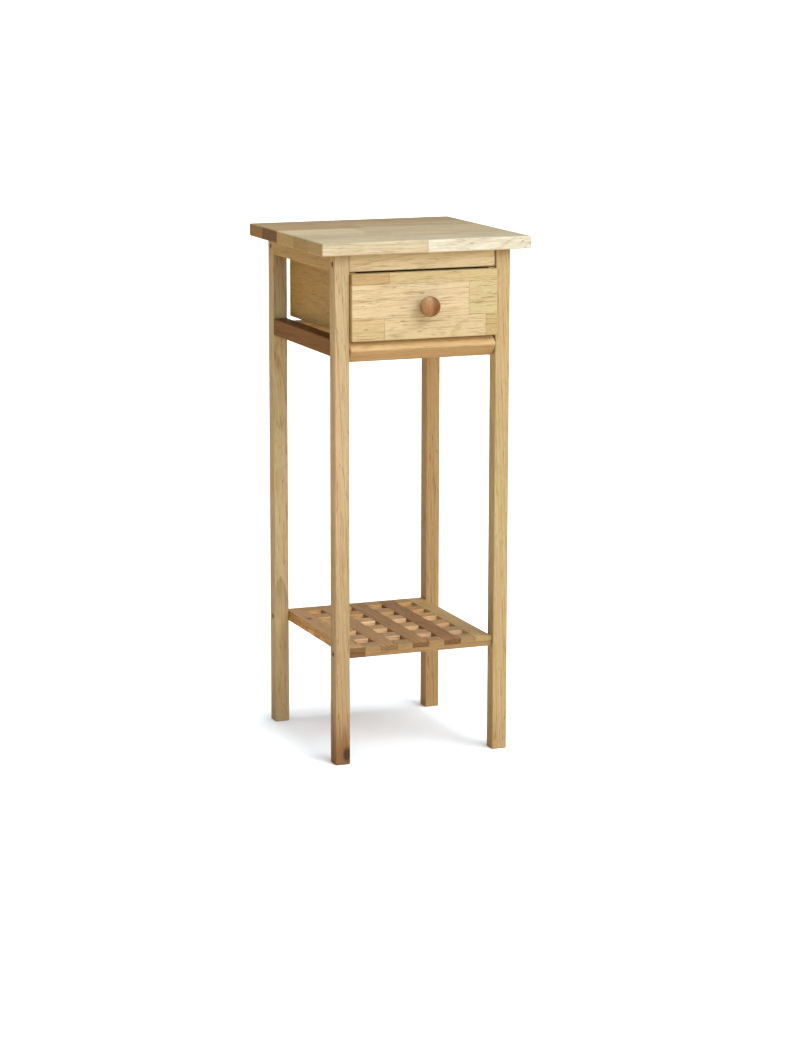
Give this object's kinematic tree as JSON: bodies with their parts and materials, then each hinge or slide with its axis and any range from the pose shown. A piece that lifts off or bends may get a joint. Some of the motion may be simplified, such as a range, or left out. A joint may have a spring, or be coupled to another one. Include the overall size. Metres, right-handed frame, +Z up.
{
  "type": "side table with drawer",
  "caption": "Slim square wooden side table: overhanging glued-stave top, straight square legs, a small drawer with a turned knob, and an open lattice shelf near the floor.",
  "frame": {"origin": "on the floor, at the centre of the box round the whole table with its drawer shut, so 8 mm in front of the centre of the table top, because the box includes the knob", "axes": "+Z up, the drawer opens towards -Y, +X to the right of someone facing the drawer"},
  "size_m": [0.252, 0.264, 0.6],
  "materials": {
    "light_oak": "oiled, satin",
    "mid_oak": "oiled, satin",
    "walnut": "oiled, satin",
    "zinc_steel": "zinc plated"
  },
  "bodies": {
    "frame": {"dowel_back_left": "light_oak", "dowel_back_right": "light_oak", "dowel_front_left": "light_oak", "dowel_front_right": "light_oak", "dowel_side_back_left": "light_oak", "dowel_side_back_right": "light_oak", "dowel_side_front_left": "light_oak", "dowel_side_front_right": "light_oak", "drawer_runner": "mid_oak", "leg_back_left": "light_oak", "leg_back_right": "light_oak", "leg_front_left": "light_oak", "leg_front_right": "light_oak", "lower_bar_front": "mid_oak", "lower_rail_back": "mid_oak", "lower_rail_left": "walnut", "lower_rail_right": "walnut", "screw_runner_back": "zinc_steel", "screw_runner_front": "zinc_steel", "screw_shelf_back_left": "zinc_steel", "screw_shelf_back_right": "zinc_steel", "screw_shelf_front_left": "zinc_steel", "screw_shelf_front_right": "zinc_steel", "screw_top_back_left": "zinc_steel", "screw_top_back_right": "zinc_steel", "screw_top_front_left": "zinc_steel", "screw_top_front_right": "zinc_steel", "screw_upper_back_left": "zinc_steel", "screw_upper_back_right": "zinc_steel", "screw_upper_front_left": "zinc_steel", "screw_upper_front_right": "zinc_steel", "shelf_slat_cross_1": "light_oak", "shelf_slat_cross_2": "light_oak", "shelf_slat_cross_3": "light_oak", "shelf_slat_cross_4": "light_oak", "shelf_slat_cross_5": "light_oak", "shelf_slat_cross_6": "light_oak", "shelf_slat_deep_1": "walnut", "shelf_slat_deep_2": "mid_oak", "shelf_slat_deep_3": "mid_oak", "shelf_slat_deep_4": "walnut", "shelf_slat_deep_5": "mid_oak", "table_top": "light_oak", "upper_rail_back": "light_oak", "upper_rail_front": "light_oak", "upper_rail_left": "light_oak", "upper_rail_right": "light_oak"},
    "drawer": {"drawer_back": "light_oak", "drawer_bottom": "light_oak", "drawer_front": "light_oak", "drawer_side_left": "light_oak", "drawer_side_right": "light_oak", "knob": "walnut", "nail_left_1": "zinc_steel", "nail_left_2": "zinc_steel", "nail_left_3": "zinc_steel", "nail_right_1": "zinc_steel", "nail_right_2": "zinc_steel", "nail_right_3": "zinc_steel", "screw_knob": "zinc_steel"}
  },
  "joints": [
    {"name": "drawer_slide", "type": "slide", "parent": "frame", "child": "drawer", "axis": [0, -1, 0], "range_m": [0, 0.15]}
  ]
}
